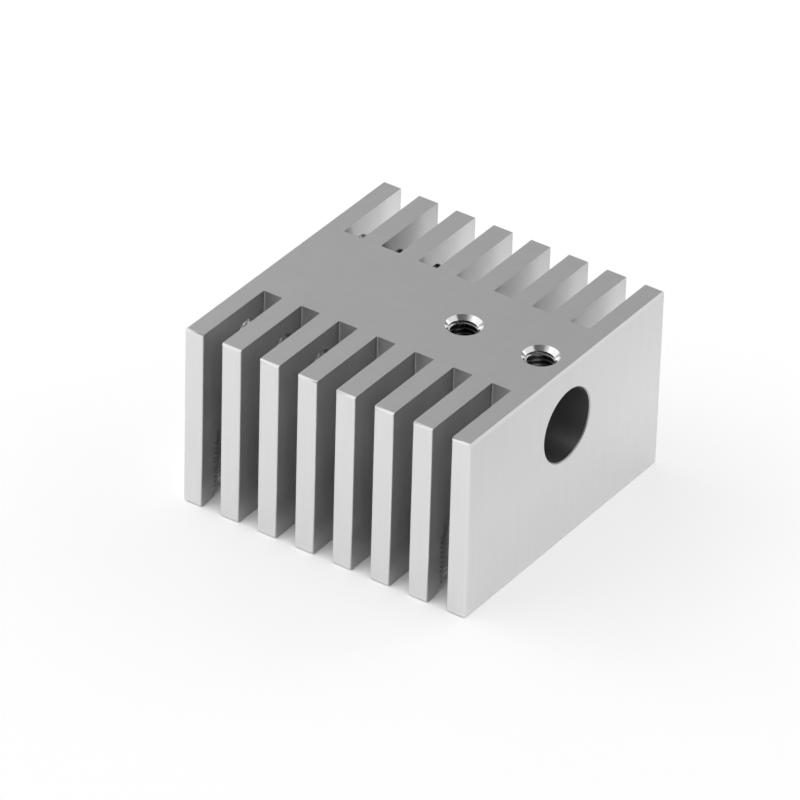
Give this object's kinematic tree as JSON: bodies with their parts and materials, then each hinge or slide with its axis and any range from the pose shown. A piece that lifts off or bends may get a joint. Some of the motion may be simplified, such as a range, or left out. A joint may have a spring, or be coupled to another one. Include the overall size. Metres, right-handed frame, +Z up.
{
  "type": "hot-end heat sink",
  "caption": "Square finned block with a cross bore for a heat break, set-screw holes over it, and tapped holes for mounting and for a small fan.",
  "frame": {"origin": "middle of the lower face, which the fan screws to and the part stands on", "axes": "+X along the bore towards the end with the set screws, +Y out through the open ends of the slots, +Z up towards the face with the set-screw holes"},
  "size_m": [0.03, 0.03, 0.018],
  "materials": {
    "machined_aluminium": "bare machined and tumbled, satin silver"
  },
  "bodies": {
    "root": {"heat_sink": "machined_aluminium"}
  },
  "joints": []
}
